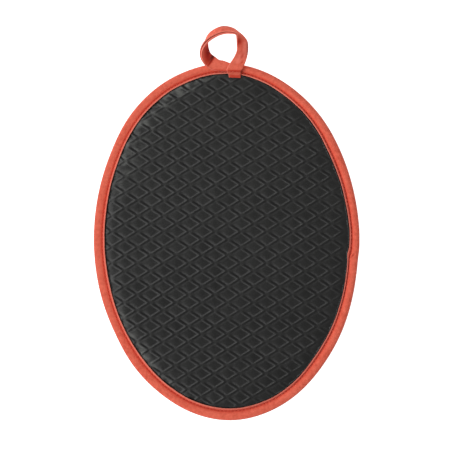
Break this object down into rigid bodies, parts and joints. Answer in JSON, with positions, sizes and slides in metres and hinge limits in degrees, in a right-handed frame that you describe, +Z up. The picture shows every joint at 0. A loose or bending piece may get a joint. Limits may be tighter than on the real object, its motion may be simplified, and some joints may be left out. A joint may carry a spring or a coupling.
{
  "type": "oval pot holder",
  "caption": "Oval pot holder: a soft black rubbery pad pressed with a diamond lattice, bound round its edge in coral cotton tape, with a twisted hanging loop sewn to the top end.",
  "frame": {"origin": "middle of the bound oval, on the flat back, which is the surface that the pot holder lies on", "axes": "+X to the right across the oval, +Y along the oval towards the hanging loop, +Z up out of the pressed face"},
  "size_m": [0.201, 0.2983, 0.0105],
  "materials": {
    "black_rubber": "satin, pressed with grooves",
    "coral_tape": "matt woven cotton tape"
  },
  "bodies": {
    "root": {"panel": "black_rubber", "binding": "coral_tape", "hanging_loop": "coral_tape"}
  },
  "joints": []
}
